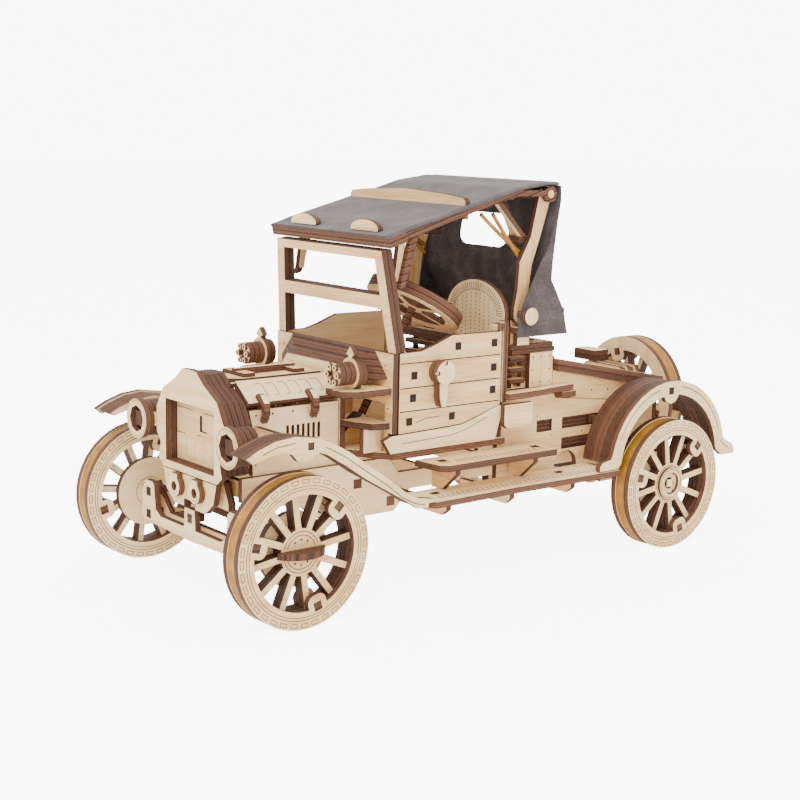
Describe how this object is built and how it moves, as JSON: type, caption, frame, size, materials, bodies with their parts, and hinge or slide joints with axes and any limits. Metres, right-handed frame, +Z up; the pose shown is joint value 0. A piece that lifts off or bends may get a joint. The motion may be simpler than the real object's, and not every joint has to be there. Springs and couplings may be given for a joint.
{
  "type": "wooden mechanical roadster model kit",
  "caption": "Plywood mechanical model of an open two-seat vintage roadster with steering, doors, lifting hood panels, spare wheel, cargo bed and a folding cloth roof.",
  "frame": {"origin": "on the ground, half way along and half way across the car", "axes": "+X forwards to the radiator, +Y to the car's left, +Z up"},
  "size_m": [0.3216, 0.157, 0.19],
  "materials": {
    "plywood": "satin",
    "rubber": "satin",
    "cloth": "matte"
  },
  "bodies": {
    "chassis": {"bed_rails": "plywood", "bed_sides": "plywood", "body_frame": "plywood", "chassis_rails": "plywood", "cloth_back": "cloth", "cloth_base": "plywood", "cowl": "plywood", "cowl_lamps": "plywood", "cross_members": "plywood", "dashboard": "plywood", "engine_block": "plywood", "fender_front_left": "plywood", "fender_front_right": "plywood", "fender_rear_left": "plywood", "fender_rear_right": "plywood", "firewall": "plywood", "floor_boards": "plywood", "front_beam": "plywood", "headlamps": "plywood", "hood_frame": "plywood", "kingpin_forks": "plywood", "radiator_front": "plywood", "radiator_stack": "plywood", "roof_pivot": "plywood", "running_board_left": "plywood", "running_board_right": "plywood", "seat_back": "plywood", "seat_base": "plywood", "spare_wheel": "plywood", "start_plate": "plywood", "tailgate": "plywood", "trunk": "plywood", "tyre_band_spare": "rubber", "windshield": "plywood"},
    "knuckle_left": {"steering_knuckle_left": "plywood"},
    "knuckle_right": {"steering_knuckle_right": "plywood"},
    "front_wheel_left": {"wheel_front_left": "plywood", "tyre_band_front_left": "rubber"},
    "front_wheel_right": {"wheel_front_right": "plywood", "tyre_band_front_right": "rubber"},
    "rear_wheels": {"rear_axle": "plywood", "wheel_rear_left": "plywood", "wheel_rear_right": "plywood", "tyre_band_rear_left": "rubber", "tyre_band_rear_right": "rubber"},
    "track_rod": {"tie_rod": "plywood"},
    "steering": {"steering_wheel": "plywood"},
    "left_door": {"door_left": "plywood"},
    "right_door": {"door_right": "plywood"},
    "left_handle": {"door_handle_left": "plywood"},
    "right_handle": {"door_handle_right": "plywood"},
    "left_hood": {"hood_panel_left": "plywood"},
    "right_hood": {"hood_panel_right": "plywood"},
    "lever": {"start_lever": "plywood"},
    "roof_rear": {"roof_arms": "plywood", "roof_bands": "rubber"},
    "roof_front": {"roof_rails": "plywood", "roof_caps": "plywood", "cloth_top": "cloth"}
  },
  "joints": [
    {"name": "steer_left", "type": "hinge", "parent": "chassis", "child": "knuckle_left", "pos_m": [0.12675, 0.05, 0.034], "axis": [0, 0, 1], "range_deg": [-20, 20]},
    {"name": "steer_right", "type": "hinge", "parent": "chassis", "child": "knuckle_right", "pos_m": [0.12675, -0.05, 0.034], "axis": [0, 0, 1], "range_deg": [-20, 20]},
    {"name": "track_rod_slide", "type": "slide", "parent": "chassis", "child": "track_rod", "axis": [0, 1, 0], "range_m": [-0.0043, 0.0043]},
    {"name": "steering_wheel_turn", "type": "hinge", "parent": "chassis", "child": "steering", "pos_m": [0.02425, 0.016, 0.1279], "axis": [-0.518, 0, 0.8554], "range_deg": [-60, 60]},
    {"name": "wheel_spin_front_left", "type": "hinge", "parent": "knuckle_left", "child": "front_wheel_left", "pos_m": [0.12675, 0.06, 0.034], "axis": [0, 1, 0], "continuous": true},
    {"name": "wheel_spin_front_right", "type": "hinge", "parent": "knuckle_right", "child": "front_wheel_right", "pos_m": [0.12675, -0.06, 0.034], "axis": [0, 1, 0], "continuous": true},
    {"name": "wheel_spin_rear", "type": "hinge", "parent": "chassis", "child": "rear_wheels", "pos_m": [-0.10675, 0, 0.034], "axis": [0, 1, 0], "continuous": true},
    {"name": "door_left_swing", "type": "hinge", "parent": "chassis", "child": "left_door", "pos_m": [-0.00595, 0.0465, 0.1], "axis": [0, 0, 1], "range_deg": [0, 70]},
    {"name": "door_right_swing", "type": "hinge", "parent": "chassis", "child": "right_door", "pos_m": [-0.00595, -0.0465, 0.1], "axis": [0, 0, -1], "range_deg": [0, 70]},
    {"name": "handle_left_turn", "type": "hinge", "parent": "left_door", "child": "left_handle", "pos_m": [0.03375, 0.0465, 0.102], "axis": [0, 1, 0], "range_deg": [0, 90]},
    {"name": "handle_right_turn", "type": "hinge", "parent": "right_door", "child": "right_handle", "pos_m": [0.03375, -0.0465, 0.102], "axis": [0, 1, 0], "range_deg": [0, 90]},
    {"name": "hood_left_lift", "type": "hinge", "parent": "chassis", "child": "left_hood", "pos_m": [0.1, 0.01382, 0.0989], "axis": [1, 0, 0], "range_deg": [0, 80]},
    {"name": "hood_right_lift", "type": "hinge", "parent": "chassis", "child": "right_hood", "pos_m": [0.1, -0.01382, 0.0989], "axis": [-1, 0, 0], "range_deg": [0, 80]},
    {"name": "start_lever_swing", "type": "hinge", "parent": "chassis", "child": "lever", "pos_m": [-0.05425, 0.0446, 0.083], "axis": [0, 0, 1], "range_deg": [0, 12]},
    {"name": "roof_fold", "type": "hinge", "parent": "chassis", "child": "roof_rear", "pos_m": [-0.0215, 0, 0.125], "axis": [0, -1, 0], "range_deg": [0, 62], "deforming": ["cloth_back"]},
    {"name": "roof_front_fold", "type": "hinge", "parent": "roof_rear", "child": "roof_front", "pos_m": [-0.0365, 0, 0.184], "axis": [0, -1, 0], "range_deg": [0, 124], "deforming": ["roof_bands"]}
  ],
  "couplings": [
    {"joint": "steer_right", "follows": "steer_left", "ratio": 1},
    {"joint": "track_rod_slide", "follows": "steer_left", "m_per_rad": -0.012},
    {"joint": "steering_wheel_turn", "follows": "steer_left", "ratio": 3},
    {"joint": "roof_front_fold", "follows": "roof_fold", "ratio": 2}
  ]
}
